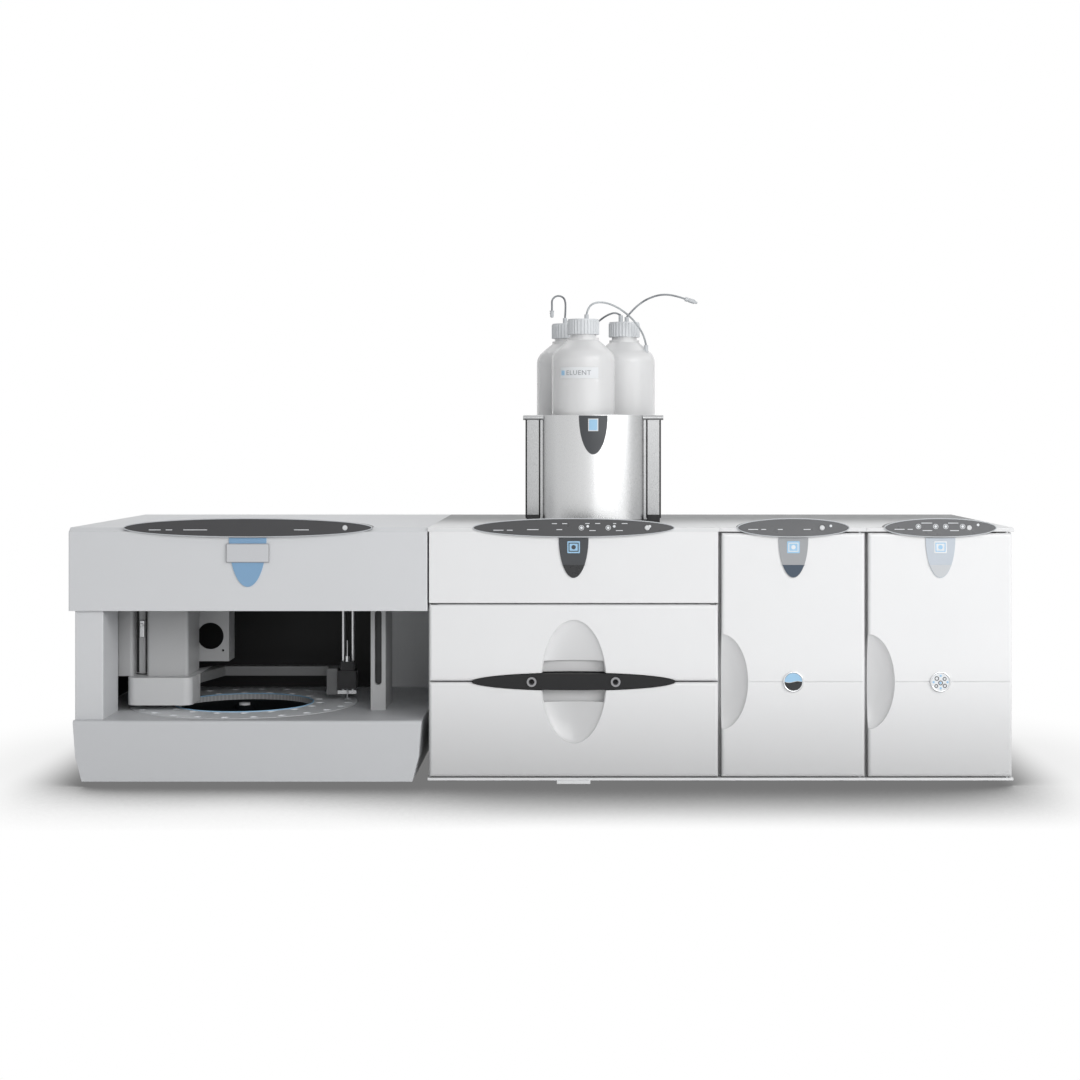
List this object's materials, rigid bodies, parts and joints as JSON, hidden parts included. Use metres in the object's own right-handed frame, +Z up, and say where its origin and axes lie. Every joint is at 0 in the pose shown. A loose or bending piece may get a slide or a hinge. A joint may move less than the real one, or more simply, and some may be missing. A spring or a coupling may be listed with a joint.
{
  "type": "ion chromatograph",
  "caption": "Bench row of analytical modules: autosampler with open vial carousel, detector compartment with bottle organizer, pump and eluent generator with swinging doors",
  "frame": {"origin": "middle of the row's footprint, on the bench under the rubber feet", "axes": "+X to the right as seen from the front, +Y to the back, +Z up"},
  "size_m": [1.465, 0.53, 0.7812],
  "materials": {
    "pale_paint": "matt",
    "rear_paint": "matt",
    "white_paint": "satin",
    "black_panel": "matt",
    "drive_paint": "satin",
    "sheet_metal": "brushed",
    "dark_plastic": "satin",
    "key_plastic": "satin",
    "blue_plastic": "satin",
    "grey_plastic": "satin",
    "badge": "polished",
    "pin_steel": "ground",
    "foot_rubber": "matt",
    "polished_steel": "polished",
    "bottle_plastic": "translucent",
    "tube_plastic": "translucent",
    "fitting_plastic": "satin"
  },
  "bodies": {
    "instrument": {"sampler_base": "pale_paint", "sampler_hood": "pale_paint", "left_column": "pale_paint", "side_plate": "pale_paint", "rear_housing": "rear_paint", "detector_cabinet": "white_paint", "pump_cabinet": "white_paint", "generator_cabinet": "white_paint", "detector_fascia": "white_paint", "drain_tab": "white_paint", "back_panel": "black_panel", "drive_housing": "drive_paint", "sampler_arm": "drive_paint", "bracket_plate": "sheet_metal", "guide_rods": "sheet_metal", "pump_heads": "sheet_metal", "pump_manifolds": "sheet_metal", "eluent_cartridge": "sheet_metal", "injection_ports": "sheet_metal", "sampler_pod": "dark_plastic", "detector_pod": "dark_plastic", "pump_pod": "dark_plastic", "generator_pod": "dark_plastic", "port_bar": "dark_plastic", "detector_shield": "dark_plastic", "organizer_shield": "dark_plastic", "suppressor": "dark_plastic", "sampler_shield": "blue_plastic", "bottle_caps": "grey_plastic", "conductivity_cell": "grey_plastic", "injection_valve": "grey_plastic", "separation_columns": "grey_plastic", "hinge_pins": "pin_steel", "rubber_feet": "foot_rubber", "eluent_organizer": "polished_steel", "eluent_bottles": "bottle_plastic", "hook_tube": "tube_plastic", "bridge_tube": "tube_plastic", "link_tube": "tube_plastic", "reach_tube": "tube_plastic", "tube_fittings": "fitting_plastic", "tube_ends": "fitting_plastic"},
    "carousel": {"vial_carousel": "grey_plastic"},
    "needle_carriage": {"needle_head": "dark_plastic", "needle": "sheet_metal"},
    "sampler_power_key": {"sampler_key": "key_plastic"},
    "detector_power_key": {"detector_key": "key_plastic"},
    "pump_power_key": {"pump_key": "key_plastic"},
    "generator_power_key": {"generator_key": "key_plastic"},
    "upper_flap": {"upper_door": "white_paint"},
    "lower_flap": {"lower_door": "white_paint"},
    "pump_front": {"pump_door": "white_paint", "pump_disc": "badge", "pump_shield": "dark_plastic"},
    "generator_front": {"generator_door": "white_paint", "generator_disc": "badge", "generator_shield": "blue_plastic"},
    "rotor": {"valve_rotor": "dark_plastic"},
    "upper_prime": {"prime_knob_upper": "key_plastic"},
    "lower_prime": {"prime_knob_lower": "key_plastic"}
  },
  "joints": [
    {"name": "carousel_spin", "type": "hinge", "parent": "instrument", "child": "carousel", "pos_m": [-0.49445, -0.059, 0.096], "axis": [0, 0, 1], "continuous": true},
    {"name": "needle_lift", "type": "slide", "parent": "instrument", "child": "needle_carriage", "axis": [0, 0, 1], "range_m": [0, 0.09]},
    {"name": "sampler_key_press", "type": "slide", "parent": "instrument", "child": "sampler_power_key", "axis": [0, 1, 0], "range_m": [0, 0.0012], "stiffness_N_per_m": 800, "springref_m": -0.0006},
    {"name": "detector_key_press", "type": "slide", "parent": "instrument", "child": "detector_power_key", "axis": [0, 1, 0], "range_m": [0, 0.0012], "stiffness_N_per_m": 800, "springref_m": -0.0006},
    {"name": "pump_key_press", "type": "slide", "parent": "instrument", "child": "pump_power_key", "axis": [0, 1, 0], "range_m": [0, 0.0012], "stiffness_N_per_m": 800, "springref_m": -0.0006},
    {"name": "generator_key_press", "type": "slide", "parent": "instrument", "child": "generator_power_key", "axis": [0, 1, 0], "range_m": [0, 0.0012], "stiffness_N_per_m": 800, "springref_m": -0.0006},
    {"name": "upper_door_swing", "type": "hinge", "parent": "instrument", "child": "upper_flap", "pos_m": [0.05035, -0.249, 0.274], "axis": [-1, 0, 0], "range_deg": [0, 90]},
    {"name": "lower_door_swing", "type": "hinge", "parent": "instrument", "child": "lower_flap", "pos_m": [0.05035, -0.249, 0.021], "axis": [1, 0, 0], "range_deg": [0, 90]},
    {"name": "pump_door_swing", "type": "hinge", "parent": "instrument", "child": "pump_front", "pos_m": [0.49465, -0.249, 0.2], "axis": [0, 0, 1], "range_deg": [0, 100]},
    {"name": "generator_door_swing", "type": "hinge", "parent": "instrument", "child": "generator_front", "pos_m": [0.72295, -0.249, 0.2], "axis": [0, 0, 1], "range_deg": [0, 100]},
    {"name": "valve_turn", "type": "hinge", "parent": "instrument", "child": "rotor", "pos_m": [-0.03965, -0.171, 0.09075], "axis": [0, 1, 0], "range_deg": [0, 60]},
    {"name": "upper_prime_turn", "type": "hinge", "parent": "instrument", "child": "upper_prime", "pos_m": [0.39065, -0.172, 0.212], "axis": [0, 1, 0], "range_deg": [0, 180]},
    {"name": "lower_prime_turn", "type": "hinge", "parent": "instrument", "child": "lower_prime", "pos_m": [0.39065, -0.172, 0.056], "axis": [0, 1, 0], "range_deg": [0, 180]}
  ]
}
